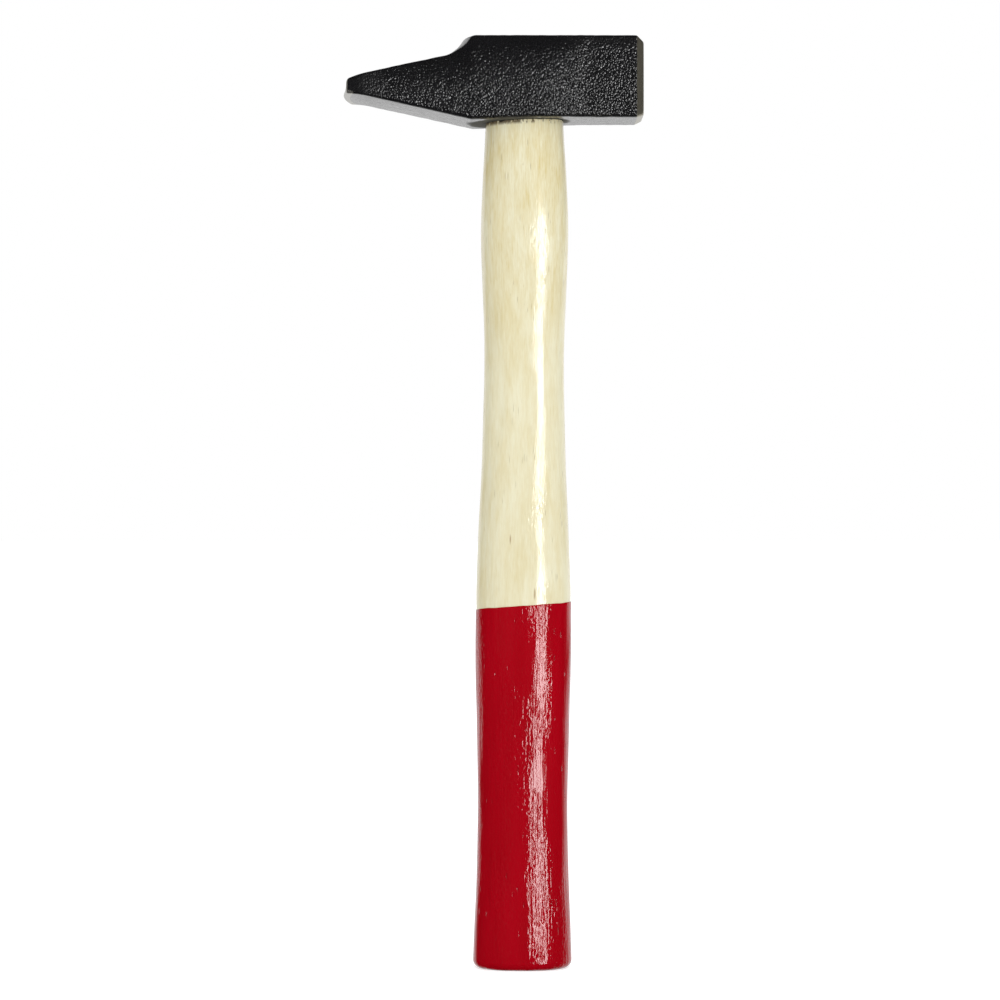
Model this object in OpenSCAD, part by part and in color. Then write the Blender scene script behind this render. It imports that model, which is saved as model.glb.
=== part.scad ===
// Cross-peen hammer, standing on its butt.
// Origin: centre of the butt, on the axis of the handle.
// +Z runs up the handle, +X points to the striking face and -X to the peen.

/* [Head] */
// Height of the head's underside above the butt
head_underside = 288.3; // [240:1:400]
// Height of the head, from its underside to its top
head_h = 28; // [24:0.5:36]
// Distance from the axis of the handle to the striking face
face_reach = 40.7; // [36:0.1:60]
// Distance from the axis of the handle to the tip of the peen
peen_reach = 61.2; // [50:0.1:80]
// How far the underside lies lower at the step than at the face
under_drop = 1.1; // [0:0.1:2]
// Width of the head behind the striking face
face_w = 27; // [24:0.5:34]
// Width of the head across the cheeks at the eye
cheek_w = 33; // [29:0.1:37]
// Distance from the axis of the handle to where the cheeks start to narrow to the face
cheek_reach = 4; // [0:0.5:10]
// Distance from the axis of the handle to where the head reaches the width of its face
cheek_end = 24; // [16:0.5:30]
// Width of the head across its top, from the face to the step
top_w = 27.4; // [24:0.1:31]
// Chamfer ground round the striking face, measured along the head
face_chamfer = 2.4; // [1.2:0.1:4]
// Radius between that chamfer and the face
rim_r = 2.4; // [0.4:0.1:3]
// Radius of the long edges along the head's top
edge_r = 0.8; // [0.5:0.1:2.5]
// Radius of the long edges of its underside
low_edge_r = 1.6; // [0.5:0.1:2.5]

/* [Peen] */
// Width of the peen at its tip
peen_w = 34; // [22:0.5:38]
// Thickness of the peen at its tip
peen_t = 5; // [4:0.1:7]
// Radius of the edges round the peen's tip
nose_r = 0.8; // [0.5:0.1:1.8]
// Radius of the peen's long edges at its tip
peen_edge_r = 0.9; // [0.4:0.1:2]
// Radius of the tip as seen from above
nose_plan_r = 90; // [50:1:140]
// Length of the tip that bends down a little
nose_l = 7; // [4:0.5:12]
// How far the tip bends down
nose_bend = 0.8; // [0:0.1:1.5]
// Slope of the peen's upper face, in degrees
peen_slope = 13; // [8:0.1:14]
// Distance from the axis of the handle to the step behind the top
step_reach = 18.9; // [16:0.1:21]
// Radius of the rounded top edge of the step
step_edge_r = 2.5; // [1.5:0.1:5]
// Steepest angle of the step, in degrees
step_angle = 58; // [45:1:65]
// Radius of the hollow between the step and the peen
step_hollow_r = 13.2; // [8:0.1:15]
// Radius of the step as seen from above
step_plan_r = 45; // [22:1:80]

/* [Eye] */
// Length of the eye at its waist, along the head
eye_l = 23.2; // [20:0.1:24]
// Width of the eye at its waist
eye_w = 16.4; // [14:0.1:18]
// Growth of the eye's length from the waist to either mouth
eye_flare = 2; // [0.6:0.1:2.6]
// Chamfer at both mouths of the eye
eye_chamfer = 0.4; // [0.2:0.1:0.6]

/* [Handle] */
// How far the neck stands out past the eye's mouth at each end
neck_shoulder = 0.55; // [0.5:0.05:2]
// Depth of the neck from front to back
neck_depth = 23.4; // [19:0.2:25]
// Width of the swelling below the head
swell_w = 29.7; // [27:0.1:33]
// Height of the swelling's widest point above the butt
swell_z = 253; // [228:1:262]
// Width of the waist below the swelling
waist_w = 27.1; // [23:0.1:29]
// Height of the waist above the butt
waist_z = 210; // [170:1:222]
// Width of the grip at its fullest, under the coat
grip_w = 32.2; // [28:0.1:36]
// Height of the grip's fullest point above the butt
grip_z = 116; // [90:1:140]
// Width of the slight hollow between the grip and the butt
hollow_w = 30.1; // [26:0.1:31]
// Height of that hollow above the butt
hollow_z = 54; // [38:1:70]
// Width of the flared butt
butt_w = 33.2; // [30:0.1:38]
// Radius of the butt's edge
butt_r = 2.6; // [1:0.1:4]
// Depth of the handle from front to back below its waist, as a share of its width
depth_ratio = 0.78; // [0.74:0.01:0.9]
// Squareness of the handle's section: 2 is an ellipse
squareness = 2.2; // [2:0.05:2.6]
// How far the tenon's end lies below the top of the head
tenon_sink = 0.2; // [0:0.1:1]

/* [Wedges] */
// Thickness of the wooden wedge at its top
wood_wedge_t = 4; // [2.5:0.1:5]
// Thickness of the wooden wedge at its thin edge
wood_wedge_edge = 0.8; // [0.6:0.1:1.2]
// Depth of the wooden wedge in the tenon
wood_wedge_depth = 20; // [18:0.5:23]
// Thickness of a steel wedge at its top
steel_wedge_t = 2.6; // [1.8:0.1:3.2]
// Thickness of a steel wedge at its thin edge
steel_wedge_edge = 0.9; // [0.8:0.1:1.2]
// Depth of a steel wedge in the tenon
steel_wedge_depth = 15; // [10:0.5:16]
// Distance from the axis of the handle to the middle of each steel wedge
steel_wedge_offset = 6; // [4.5:0.1:6.6]
// Wood left between the end of a steel wedge and the waist of the eye
steel_wedge_margin = 1; // [0.6:0.1:2]
// Number of barbs on each face of a steel wedge
barbs = 3; // [1:1:5]
// Height of one barb
barb_h = 0.3; // [0.1:0.05:0.35]

/* [Coat] */
// Thickness of the dipped coat on the grip
coat_t = 0.25; // [0.15:0.05:0.6]
// Height of the coat's upper edge above the butt, at the middle
coat_top = 124; // [80:1:160]
// Slant of the coat's upper edge, in degrees
coat_slant = 4.5; // [0:0.1:8]

/* [Fit] */
// Gap between the tenon and the eye, and between the neck and the head
eye_gap = 0.06; // [0.03:0.01:0.2]
// Gap between a wedge and what it is driven into
wedge_gap = 0.04; // [0.02:0.01:0.1]
// Gap between the coat and the wood under it
coat_gap = 0.02; // [0.01:0.01:0.05]

/* [Hidden] */
$fn = 64;

// How far a cut runs past the faces that it opens
lap = 1;
head_top = head_underside + head_h;
eye_mid_z = head_underside + head_h / 2;
tenon_top = head_top - tenon_sink;

// Smooth rise from 0 to 1
function smooth(t) = let(u = min(1, max(0, t))) u * u * (3 - 2 * u);
// How far a rounded edge of radius r has dropped at a distance d from its side
function edge_drop(d, r) = d >= r ? 0 : r - sqrt(max(0, r * r - (r - d) ^ 2));

// The top of the head in side view: flat, rounded edge, hollow, slope of the peen
step_edge_end = [
    -step_reach - step_edge_r * sin(step_angle),
    head_top - step_edge_r + step_edge_r * cos(step_angle)
];
hollow_centre = step_edge_end + step_hollow_r * [-sin(step_angle), cos(step_angle)];
hollow_end = hollow_centre + step_hollow_r * [sin(peen_slope), -cos(peen_slope)];

function straight_top(x) = hollow_end[1] - tan(peen_slope) * (hollow_end[0] - x);
function tip_bend(x) = nose_bend * max(0, 1 - (x + peen_reach) / nose_l) ^ 2;

function top_z(x) =
    x >= -step_reach ? head_top
    : x >= step_edge_end[0]
        ? head_top - step_edge_r + sqrt(step_edge_r ^ 2 - (x + step_reach) ^ 2)
    : x >= hollow_end[0]
        ? hollow_centre[1] - sqrt(step_hollow_r ^ 2 - (x - hollow_centre[0]) ^ 2)
    : straight_top(x) - tip_bend(x);

// Share of the way from the step to the tip of the peen
function peen_share(x) = max(0, -step_reach - x) / (peen_reach - step_reach);

// The underside: flat behind the face, a slight drop under the eye, a straight rise to the tip
neck_w = eye_l + eye_flare + 2 * neck_shoulder;
under_slope = under_drop / (neck_w / 2 + step_reach);
step_under_z = head_underside - under_drop;
tip_under_z = straight_top(-peen_reach) - peen_t;
function under_z(x) =
    x > -step_reach
        ? head_underside - under_slope * max(0, neck_w / 2 - x)
        : step_under_z + (tip_under_z - step_under_z) * peen_share(x) - tip_bend(x);

// Half the width of the head, widest across the cheeks
narrow_l = cheek_end - cheek_reach;
function half_w(x) =
    x > -step_reach
        ? (cheek_w + (face_w - cheek_w) * smooth((x - cheek_reach) / narrow_l)) / 2
        : (cheek_w + (peen_w - cheek_w) * peen_share(x)) / 2;

// Half the width of its top, which grows only on the peen, so the sides of the cheeks lean in
function half_top(x) = min(half_w(x), (top_w + (peen_w - top_w) * peen_share(x)) / 2);

// The chamfer of the face leans this much, and a rounded rim joins it to the face
chamfer_angle = 45;
rim_l = rim_r * (1 - cos(chamfer_angle));
rim_inset = face_chamfer - rim_l + rim_r * sin(chamfer_angle);
function face_inset(x) =
    x > face_reach - rim_l
        ? rim_inset - sqrt(max(0, rim_r ^ 2 - (x - face_reach + rim_r) ^ 2))
        : max(0, x - face_reach + face_chamfer);

// How far the surface is drawn in at the chamfer of the face and at the tip
function inset(x) = face_inset(x) + edge_drop(x + peen_reach, nose_r);

// Sections on the peen's side are bent to an arc, so that the step and the tip bulge
function plan_r(x) = step_plan_r + (nose_plan_r - step_plan_r) * peen_share(x);
function plan_shift(x, y) =
    x >= 0 ? 0 : smooth(-x / step_reach) * (plan_r(x) - sqrt(plan_r(x) ^ 2 - y ^ 2));
// The underside stays straight across: its bend is taken out again, all of it at the step
function level_x(x, y) = x + (1 - peen_share(x)) * plan_shift(x, y);

round_steps = 4;
across_steps = 6;
edge_angles = [for (i = [0:round_steps]) 90 * i / round_steps];

// Places across a section of half width w whose two edges have radius r
function across(w, r) = concat(
    [for (a = edge_angles) r - w - r * cos(a)],
    [for (i = [1:across_steps - 1]) (w - r) * (2 * i / across_steps - 1)],
    [for (a = edge_angles) w - r + r * sin(a)]
);
// An edge's radius at the tip is peen_edge_r, and no edge takes up more than half the height
function radius_at(x, r, high) = min(r + (peen_edge_r - r) * peen_share(x), 0.45 * high);

// One section of the head as points round it, over the top and back underneath
function head_ring(x) =
    let(
        top = top_z(x) - inset(x),
        high = top - under_z(x) - inset(x),
        w = half_w(x) - inset(x),
        w_top = half_top(x) - inset(x),
        top_r = radius_at(x, edge_r, high),
        low_r = radius_at(x, low_edge_r, high),
        lows = across(w, low_r),
        count = len(lows)
    )
    concat(
        [for (y = across(w_top, top_r))
            [x + plan_shift(x, y), y, top - edge_drop(w_top - abs(y), top_r)]],
        [for (i = [1:count]) let(y = lows[count - i], z = under_z(level_x(x, y)) + inset(x))
            [x + plan_shift(x, y), y, z + edge_drop(w - abs(y), low_r)]]
    );

// Places of the sections, closest together round the tip and over the step
hollow_margin = 2;
step_margin = 1;
step_from = hollow_end[0] - hollow_margin;
step_to = -step_reach + step_margin;
body_to = face_reach - face_chamfer;
peen_from = nose_r - peen_reach;
section_xs = concat(
    [for (a = edge_angles) -peen_reach + nose_r * (1 - cos(a))],
    [for (i = [1:6]) peen_from + (step_from - peen_from) * i / 6],
    [for (i = [1:16]) step_from + (step_to - step_from) * i / 16],
    [for (i = [1:12]) step_to + (body_to - step_to) * i / 12],
    [for (i = [0:4]) face_reach - rim_r * (1 - cos(chamfer_angle * (1 - i / 4)))]
);

// A closed skin through equal rings of points
module loft(rings) {
    n = len(rings[0]);
    last = len(rings) - 1;
    sides = [
        for (i = [0:last - 1]) for (j = [0:n - 1])
            let(a = i * n + j, b = i * n + (j + 1) % n)
            each [[a, a + n, b + n], [a, b + n, b]]
    ];
    first_cap = [for (j = [0:n - 1]) j];
    last_cap = [for (j = [n - 1:-1:0]) last * n + j];
    polyhedron([for (ring = rings) each ring], concat(sides, [first_cap, last_cap]));
}

// An oval cone with the eye's proportions, between two heights and two lengths
module oval_cone(low_z, low_l, high_z, high_l) {
    translate([0, 0, low_z])
    scale([1, eye_w / eye_l, 1])
    cylinder(h = high_z - low_z, d1 = low_l, d2 = high_l);
}

function eye_length(z) = eye_l + eye_flare * abs(z - eye_mid_z) / (head_h / 2);

// The waisted form of the eye between two heights, drawn in by a gap
module eye_form(low_z, high_z, gap) {
    oval_cone(low_z, eye_length(low_z) - 2 * gap, eye_mid_z, eye_l - 2 * gap);
    oval_cone(eye_mid_z, eye_l - 2 * gap, high_z, eye_length(high_z) - 2 * gap);
}

// The chamfers of both mouths of the eye, the lower one square to the sloping underside
module eye_mouths() {
    mouth_l = eye_l + eye_flare;
    cut = eye_chamfer + lap;
    translate([0, 0, under_z(0)]) rotate([0, -atan(under_slope), 0])
    oval_cone(-lap, mouth_l + 2 * cut, cut, mouth_l - 2 * lap);
    oval_cone(head_top - cut, mouth_l - 2 * lap, head_top + lap, mouth_l + 2 * cut);
}

module head() {
    color([0.12, 0.12, 0.13])
    difference() {
        loft([for (x = section_xs) head_ring(x)]);
        eye_form(step_under_z - lap, head_top + lap, 0);
        eye_mouths();
    }
}

// Half the width of the handle at a height above the butt
neck_z = head_underside - eye_gap;
flare_power = 1.6;
function between(z, low_z, low_w, high_z, high_w) =
    (low_w + (high_w - low_w) * smooth((z - low_z) / (high_z - low_z))) / 2;
function handle_half(z) =
    z < hollow_z ? (hollow_w + (butt_w - hollow_w) * (1 - z / hollow_z) ^ flare_power) / 2
    : z < grip_z ? between(z, hollow_z, hollow_w, grip_z, grip_w)
    : z < waist_z ? between(z, grip_z, grip_w, waist_z, waist_w)
    : z < swell_z ? between(z, waist_z, waist_w, swell_z, swell_w)
    : between(z, swell_z, swell_w, neck_z, neck_w);
// Half its depth: above the waist it grows rounder towards the neck
function handle_deep(z) =
    let(rounder = smooth((z - waist_z) / (neck_z - waist_z)))
    handle_half(z) * (depth_ratio + (neck_depth / neck_w - depth_ratio) * rounder);

ring_points = 32;
ring_angles = [for (i = [0:ring_points - 1]) 360 * i / ring_points];
// An oval ring with half axes a and b, squarer than an ellipse where its power is over 2
function power_of(v, p) = sign(v) * abs(v) ^ (2 / p);
function oval_ring(z, a, b, p) =
    [for (t = ring_angles) [a * power_of(cos(t), p), b * power_of(sin(t), p), z]];

profile_step = 9;
// Rings of the stick from the butt up to a height, grown outwards all over
function stick_rings(high_z, grow) =
    let(
        low_z = coat_t - grow,
        rise_z = low_z + butt_r,
        steps = ceil((high_z - rise_z) / profile_step)
    )
    concat(
        [for (t = [0:18:72])
            let(back = butt_r * (1 - sin(t)) - grow, z = rise_z - butt_r * cos(t))
            oval_ring(z, handle_half(rise_z) - back, handle_deep(rise_z) - back, squareness)],
        [for (i = [0:steps])
            let(z = rise_z + (high_z - rise_z) * i / steps)
            oval_ring(z, handle_half(z) + grow, handle_deep(z) + grow, squareness)]
    );

// A ring of the tenon, which fills the waisted eye but for the gap
function tenon_ring(z) =
    let(a = eye_length(z) / 2 - eye_gap) oval_ring(z, a, a * eye_w / eye_l, 2);

// A ring laid against the underside of the head
function seated(ring) = [for (p = ring) [p[0], p[1], under_z(p[0]) - eye_gap]];

stick = stick_rings(neck_z, 0);
handle_rings = concat(
    [for (i = [0:len(stick) - 2]) stick[i]],
    [seated(stick[len(stick) - 1]), seated(tenon_ring(neck_z))],
    [tenon_ring(eye_mid_z), tenon_ring(tenon_top)]
);

// A tapered slab with its thin edge down, standing in the tenon
module slab(top_t, edge_t, depth, l, gap) {
    half_top = top_t / 2 + gap;
    half_edge = edge_t / 2 + gap;
    over_half = half_top + lap * (half_top - half_edge) / depth;
    translate([0, 0, tenon_top]) rotate([90, 0, 90]) linear_extrude(l, center = true)
    polygon([
        [-half_edge, -depth - gap], [half_edge, -depth - gap], [over_half, lap], [-over_half, lap]
    ]);
}

module wood_wedge_slab(gap) {
    slab(wood_wedge_t, wood_wedge_edge, wood_wedge_depth, eye_l + 2 * eye_flare, gap);
}

// A steel wedge ends where the oval waist of the eye, less the margin, meets its outer face
steel_wedge_out = steel_wedge_offset + steel_wedge_t / 2;
steel_wedge_l =
    eye_w * sqrt(1 - (2 * steel_wedge_out / eye_l) ^ 2) - 2 * steel_wedge_margin;

module steel_wedge_slab(side, gap) {
    translate([side * steel_wedge_offset, 0, 0]) rotate([0, 0, 90])
    slab(steel_wedge_t, steel_wedge_edge, steel_wedge_depth, steel_wedge_l + 2 * gap, gap);
}

module handle() {
    color([0.9, 0.85, 0.7])
    difference() {
        loft(handle_rings);
        wood_wedge_slab(wedge_gap);
        steel_wedge_slab(1, wedge_gap);
        steel_wedge_slab(-1, wedge_gap);
    }
}

module wood_wedge() {
    color([0.72, 0.56, 0.36])
    difference() {
        intersection() {
            eye_form(head_underside, tenon_top, eye_gap);
            wood_wedge_slab(0);
        }
        steel_wedge_slab(1, wedge_gap);
        steel_wedge_slab(-1, wedge_gap);
    }
}

// One face of a steel wedge in side view, from its thin edge up, with a notch above each barb
barb_pitch = steel_wedge_depth / (barbs + 1);
function wedge_half(z) =
    (steel_wedge_edge + (steel_wedge_t - steel_wedge_edge) * z / steel_wedge_depth) / 2;
wedge_face = concat(
    [[wedge_half(0), 0]],
    [for (i = [1:barbs]) let(z = i * barb_pitch)
        each [[wedge_half(z), z], [wedge_half(z) - barb_h, z + barb_h]]],
    [[wedge_half(steel_wedge_depth), steel_wedge_depth]]
);

module steel_wedge(side) {
    count = len(wedge_face);
    back_face = [for (i = [1:count]) let(p = wedge_face[count - i]) [-p[0], p[1]]];
    color([0.55, 0.55, 0.56])
    translate([side * steel_wedge_offset, 0, tenon_top - steel_wedge_depth])
    rotate([90, 0, 0]) linear_extrude(steel_wedge_l, center = true)
    polygon(concat(wedge_face, back_face));
}

module steel_wedge_face_side() {
    steel_wedge(1);
}

module steel_wedge_peen_side() {
    steel_wedge(-1);
}

module grip_lacquer() {
    above = coat_top + butt_w;
    color([0.68, 0.02, 0.1])
    difference() {
        loft(stick_rings(above, coat_t));
        loft(stick_rings(above + lap, coat_gap));
        translate([0, 0, coat_top]) rotate([0, -coat_slant, 0])
        translate([-butt_w, -butt_w, 0]) cube(2 * butt_w);
    }
}

head();
handle();
wood_wedge();
steel_wedge_face_side();
steel_wedge_peen_side();
grip_lacquer();
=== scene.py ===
import math

import bmesh
import bpy
import numpy as np
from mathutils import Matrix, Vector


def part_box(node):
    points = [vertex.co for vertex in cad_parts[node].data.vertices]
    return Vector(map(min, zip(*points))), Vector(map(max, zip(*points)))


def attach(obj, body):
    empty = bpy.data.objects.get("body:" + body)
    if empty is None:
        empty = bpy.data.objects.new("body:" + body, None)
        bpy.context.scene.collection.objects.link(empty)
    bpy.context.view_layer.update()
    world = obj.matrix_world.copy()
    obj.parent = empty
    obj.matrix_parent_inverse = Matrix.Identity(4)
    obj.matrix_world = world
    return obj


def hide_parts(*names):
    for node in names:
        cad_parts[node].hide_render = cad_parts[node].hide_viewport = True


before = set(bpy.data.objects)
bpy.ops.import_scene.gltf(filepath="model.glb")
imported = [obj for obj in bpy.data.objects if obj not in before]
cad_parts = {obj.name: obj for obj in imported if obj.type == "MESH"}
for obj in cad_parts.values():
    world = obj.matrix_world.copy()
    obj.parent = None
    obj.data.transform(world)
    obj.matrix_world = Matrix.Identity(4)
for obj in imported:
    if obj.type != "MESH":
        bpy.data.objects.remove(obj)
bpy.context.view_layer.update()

# A cross-peen hammer standing on its butt: forged head, ash handle, dipped red grip.
# Sizes are in millimetres until a mesh is made, and mm turns them into metres.
mm = 0.001
sliver = 0.002  # edges shorter than this are melted after a cut


def boxOf(node):
    # lowest and highest corner of a construction node, in millimetres
    low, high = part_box(node)
    return np.array(low) / mm, np.array(high) / mm


headLow, headHigh = boxOf("head")
tenonTop = boxOf("handle")[1][2]

# Camera: level, a little left of the handle and half way up it, with a long lens
camera = {"place": (-7.95, -1185.0, 159.3), "lens": 125.0, "sensor": 36.0}


def makeCamera():
    # a level camera that looks straight along +Y, square to the side of the head
    data = bpy.data.cameras.new("camera")
    data.lens = camera["lens"]
    data.sensor_width = camera["sensor"]
    data.clip_start = 0.05
    data.clip_end = 50.0
    seen = bpy.data.objects.new("camera", data)
    seen.location = np.array(camera["place"]) * mm
    seen.rotation_euler = (math.radians(90), 0, 0)
    bpy.context.scene.collection.objects.link(seen)
    bpy.context.scene.camera = seen


makeCamera()
bpy.context.scene.view_settings.view_transform = "Standard"
print("camera placed")


# Shader maths: a Wire is a socket, and arithmetic on it adds Math nodes
class Wire:
    def __init__(self, sheet, socket):
        self.sheet = sheet
        self.socket = socket

    def math(self, operation, *others):
        # one Math node with this wire as its first value
        values = dict(enumerate((self, *others)))
        return self.sheet.node("ShaderNodeMath", {"operation": operation}, values)

    def __add__(self, other):
        return self.math("ADD", other)

    def __radd__(self, other):
        return self.math("ADD", other)

    def __sub__(self, other):
        return self.math("SUBTRACT", other)

    def __rsub__(self, other):
        return self.sheet.node("ShaderNodeMath", {"operation": "SUBTRACT"}, {0: other, 1: self})

    def __mul__(self, other):
        return self.math("MULTIPLY", other)

    def __rmul__(self, other):
        return self.math("MULTIPLY", other)

    def __truediv__(self, other):
        return self.math("DIVIDE", other)

    def __pow__(self, other):
        return self.math("POWER", other)


class Sheet:
    # the node tree of one material or of the world
    def __init__(self, owner):
        owner.use_nodes = True
        self.tree = owner.node_tree
        self.tree.nodes.clear()

    def node(self, kind, settings=None, sockets=None, out=0):
        # adds a node, sets it up, then fills or links its sockets by place or name; gives one output
        made = self.tree.nodes.new(kind)
        for name, value in (settings or {}).items():
            setattr(made, name, value)
        for name, value in (sockets or {}).items():
            shown = [s for s in made.inputs if s.enabled]
            target = shown[name] if isinstance(name, int) else next(s for s in shown if s.name == name)
            if isinstance(value, Wire):
                self.tree.links.new(value.socket, target)
            else:
                target.default_value = value
        given = [s for s in made.outputs if s.enabled]
        if not given:
            return made
        return Wire(self, given[out] if isinstance(out, int) else next(s for s in given if s.name == out))

    def objectPlace(self):
        # the place on the piece itself, the same from every side
        return self.node("ShaderNodeTexCoord", out="Object")

    def ray(self, kind):
        # 1 where the light path is of that kind, such as Is Camera Ray
        return self.node("ShaderNodeLightPath", out=kind)

    def axes(self, vector):
        # the three parts of a place, in millimetres
        return [self.node("ShaderNodeSeparateXYZ", None, {0: vector}, out=i) / mm for i in range(3)]

    def normalParts(self):
        # the three parts of the surface's own direction
        facing = self.node("ShaderNodeNewGeometry", out="Normal")
        return [self.node("ShaderNodeSeparateXYZ", None, {0: facing}, out=i) for i in range(3)]

    def stretched(self, vector, scale, turn=(0, 0, 0)):
        # a place scaled along each axis; a scale under 1 draws the pattern out along that axis
        sockets = {"Vector": vector, "Rotation": turn, "Scale": scale}
        return self.node("ShaderNodeMapping", None, sockets)

    def noise(self, vector, size, detail=2.0, rough=0.5):
        # soft noise whose blobs are about size millimetres across
        sockets = {"Vector": vector, "Scale": 1 / (size * mm), "Detail": detail, "Roughness": rough}
        return self.node("ShaderNodeTexNoise", None, sockets, out="Fac")

    def cells(self, vector, size):
        # distance to the nearest of scattered points about size millimetres apart
        sockets = {"Vector": vector, "Scale": 1 / (size * mm)}
        return self.node("ShaderNodeTexVoronoi", {"feature": "F1"}, sockets, out="Distance")

    def rise(self, value, low, high, start=0.0, end=1.0):
        # smooth step from start to end as value goes from low to high
        sockets = {0: value, 1: low, 2: high, 3: start, 4: end}
        return self.node("ShaderNodeMapRange", {"interpolation_type": "SMOOTHSTEP"}, sockets)

    def blend(self, first, second, share):
        # the first colour where share is 0, the second where it is 1
        settings = {"data_type": "RGBA", "blend_type": "MIX", "clamp_factor": True}
        return self.node("ShaderNodeMix", settings, {"Factor": share, "A": first, "B": second})

    def bump(self, height, depth, normal=None):
        # height 0 to 1 stands for depth in millimetres
        sockets = {"Strength": 1.0, "Distance": depth * mm, "Height": height}
        if normal:
            sockets["Normal"] = normal
        return self.node("ShaderNodeBump", None, sockets)

    def surface(self, sockets):
        # a Principled shader with these sockets, joined to the material's output
        shader = self.node("ShaderNodeBsdfPrincipled", None, sockets)
        self.node("ShaderNodeOutputMaterial", None, {"Surface": shader})


def newMaterial(name):
    # a material and the sheet of its nodes
    material = bpy.data.materials.new(name)
    return material, Sheet(material)


def colour(red, green, blue):
    # a colour as it is seen on a screen, 0 to 255, made linear
    parts = [c / 255 for c in (red, green, blue)]
    return tuple(c / 12.92 if c <= 0.04045 else ((c + 0.055) / 1.055) ** 2.4 for c in parts) + (1.0,)


# Meshes: rings of points joined into a skin, all as arrays
def skin(name, rings, material):
    # rings is stations x points x 3 in millimetres; the first and last station close to their middle
    stations, points, _ = rings.shape
    poles = np.stack([rings[0].mean(0), rings[-1].mean(0)])
    places = np.concatenate([rings.reshape(-1, 3), poles]) * mm
    i, j = np.meshgrid(np.arange(stations - 1), np.arange(points), indexing="ij")
    nextJ = (j + 1) % points
    quads = np.stack(
        [i * points + j, i * points + nextJ, (i + 1) * points + nextJ, (i + 1) * points + j], -1
    ).reshape(-1, 4)
    ring = np.arange(points)
    after = (ring + 1) % points
    count = stations * points
    startFan = np.stack([after, ring, np.full(points, count)], -1)
    endFan = np.stack(
        [count - points + ring, count - points + after, np.full(points, count + 1)], -1
    )
    mesh = bpy.data.meshes.new(name)
    mesh.from_pydata(places.tolist(), [], quads.tolist() + startFan.tolist() + endFan.tolist())
    mesh.update()
    mesh.polygons.foreach_set("use_smooth", np.ones(len(mesh.polygons), bool))
    piece = bpy.data.objects.new(name, mesh)
    bpy.context.scene.collection.objects.link(piece)
    if material:
        piece.data.materials.append(material)
    return piece


def cutBy(piece, cutters):
    # takes the cutters out of the piece, keeps the result as its mesh and removes the cutters
    for cutter in cutters:
        step = piece.modifiers.new("cut", "BOOLEAN")
        step.operation = "DIFFERENCE"
        step.solver = "EXACT"
        step.object = cutter
    shape = piece.evaluated_get(bpy.context.evaluated_depsgraph_get())
    cut = bpy.data.meshes.new_from_object(shape)
    piece.modifiers.clear()
    piece.data = cut
    for cutter in cutters:
        bpy.data.objects.remove(cutter)
    meltSlivers(cut)


def meltSlivers(mesh):
    # faces without area, which a cut can leave along its edge, are melted into their neighbours
    shape = bmesh.new()
    shape.from_mesh(mesh)
    bmesh.ops.dissolve_degenerate(shape, dist=sliver * mm, edges=shape.edges)
    shape.to_mesh(mesh)
    shape.free()


def sharpen(piece, degrees):
    # edges that turn more than this many degrees are drawn sharp
    piece.data.set_sharp_from_angle(angle=math.radians(degrees))


def smooth(t):
    # smooth step: three t squared less two t cubed, and level outside 0 to 1
    t = np.clip(t, 0, 1)
    return t * t * (3 - 2 * t)


def along(z, knots):
    # a smooth curve through (place, value) knots: cubic pieces whose slopes come from their neighbours
    places, values = np.array(knots, float).T
    slopes = np.gradient(values, places)
    k = np.clip(np.searchsorted(places, z) - 1, 0, len(places) - 2)
    gap = places[k + 1] - places[k]
    t = np.clip((z - places[k]) / gap, 0, 1)
    start, end = values[k], values[k + 1]
    bend = (t ** 3 - 2 * t ** 2 + t) * gap * slopes[k] + (t ** 3 - t ** 2) * gap * slopes[k + 1]
    return start + (end - start) * (3 * t ** 2 - 2 * t ** 3) + bend


def ripple(u, v, waves, seed):
    # a sum of sine waves in two directions, each wave (across, up, height) with its own random phase
    phases = np.random.default_rng(seed).uniform(0, 2 * np.pi, len(waves))
    return sum(h * np.sin(a * u + b * v + p) for (a, b, h), p in zip(waves, phases))


# Head
head = {
    # side view: the height, the drop of the underside below the eye and where the drop ends
    "high": 27.75, "underDrop": 1.1, "underReach": 17.5,
    # widths, where the cheeks narrow and how suddenly, where the sides start to lean in and their dome
    "faceW": 27.0, "cheekW": 33.0, "topW": 27.4, "peenW": 34.0,
    "cheekFrom": -8.0, "cheekTo": 23.0, "cheekBend": 2.2, "leanFrom": 0.35, "camber": 0.7,
    # the ground chamfer with its shares at the top and the bottom, its soft edge, the rim, the crown
    "chamfer": 2.4, "topChamfer": 0.88, "lowChamfer": 0.42, "chamferEdge": 0.22,
    "rimR": 1.6, "crown": 0.03,
    # radii of the long edges: above, below, at the knee below the step, and at the tip
    "edgeR": 0.8, "lowEdgeR": 1.6, "kneeEdgeR": 1.8, "peenEdgeR": 0.9,
    # step from the body to the peen
    "stepReach": 18.9, "stepEdgeR": 2.5, "stepAngle": 58.0, "stepHollowR": 13.2, "stepPlanR": 45.0,
    # peen: thickness and slope, then the tip's radius, plan arc, lean, and the length and drop of its bend
    "peenT": 5.0, "peenSlope": 13.0,
    "noseR": 0.8, "nosePlanR": 90.0, "noseLean": 1.6, "noseL": 7.0, "noseBend": 0.8,
    # eye, and the neck of the handle below it
    "eyeL": 23.2, "eyeW": 16.4, "eyeFlare": 2.0, "eyeChamfer": 0.4, "neckW": 26.3,
    # waves of the forged skin: height, shortest and longest, how many; and the sections' spacing
    "uneven": 0.022, "unevenFrom": 2.2, "unevenTo": 6.0, "unevenWaves": 70, "seed": 11, "spacing": 0.48
}
underside = headHigh[2] - head["high"]


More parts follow.
